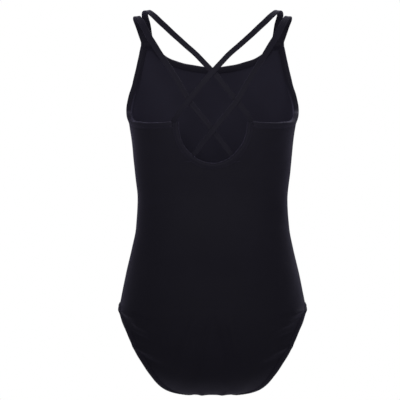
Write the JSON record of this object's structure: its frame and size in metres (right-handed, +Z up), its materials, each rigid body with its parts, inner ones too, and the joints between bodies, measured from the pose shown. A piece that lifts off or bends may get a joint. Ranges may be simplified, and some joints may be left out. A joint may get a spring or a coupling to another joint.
{
  "type": "gymnastics leotard",
  "caption": "Child's camisole gymnastics leotard with a lined front, bound edges, a scooped back, crossing elastic straps and hemmed leg openings.",
  "frame": {"origin": "midway between the tops of the shoulder straps, on the garment's middle plane, at the height of the top of the straps", "axes": "+Z up the wearer's body, +Y the way the wearer faces, +X to the wearer's right"},
  "size_m": [0.2464, 0.1708, 0.4989],
  "materials": {
    "knit": "black stretch knit, matt with a soft bluish sheen at grazing angles",
    "trim": "black stretch knit folded over elastic, stitched",
    "lining": "thin black tricot lining, matt",
    "elastic": "flat black woven elastic",
    "thread": "black textured polyester thread",
    "label": "blank off-white satin ribbon"
  },
  "bodies": {
    "leotard": {"front_panel": "knit", "back_panel": "knit", "front_lining": "lining", "gusset_lining": "lining", "side_seam_right": "thread", "side_seam_left": "thread", "crotch_seam": "thread", "front_neck_binding": "trim", "front_neck_elastic": "elastic", "armhole_binding_right": "trim", "armhole_binding_left": "trim", "armhole_elastic_right": "elastic", "armhole_elastic_left": "elastic", "back_scoop_binding": "trim", "back_scoop_elastic": "elastic", "leg_hem_right": "trim", "leg_hem_left": "trim", "leg_elastic_right": "elastic", "leg_elastic_left": "elastic", "inner_strap_left": "trim", "inner_strap_right": "trim", "outer_strap_left": "trim", "outer_strap_right": "trim", "inner_strap_elastic_left": "elastic", "inner_strap_elastic_right": "elastic", "outer_strap_elastic_left": "elastic", "outer_strap_elastic_right": "elastic", "front_tip_tack_right": "thread", "front_tip_tack_left": "thread", "inner_strap_tack_right": "thread", "inner_strap_tack_left": "thread", "outer_strap_tack_right": "thread", "outer_strap_tack_left": "thread"},
    "label": {"care_label": "label"}
  },
  "joints": [
    {"name": "label_flap", "type": "hinge", "parent": "leotard", "child": "label", "pos_m": [-0.0949, -0.0066, -0.243], "axis": [0, 0, 1], "range_deg": [0, 75]}
  ]
}
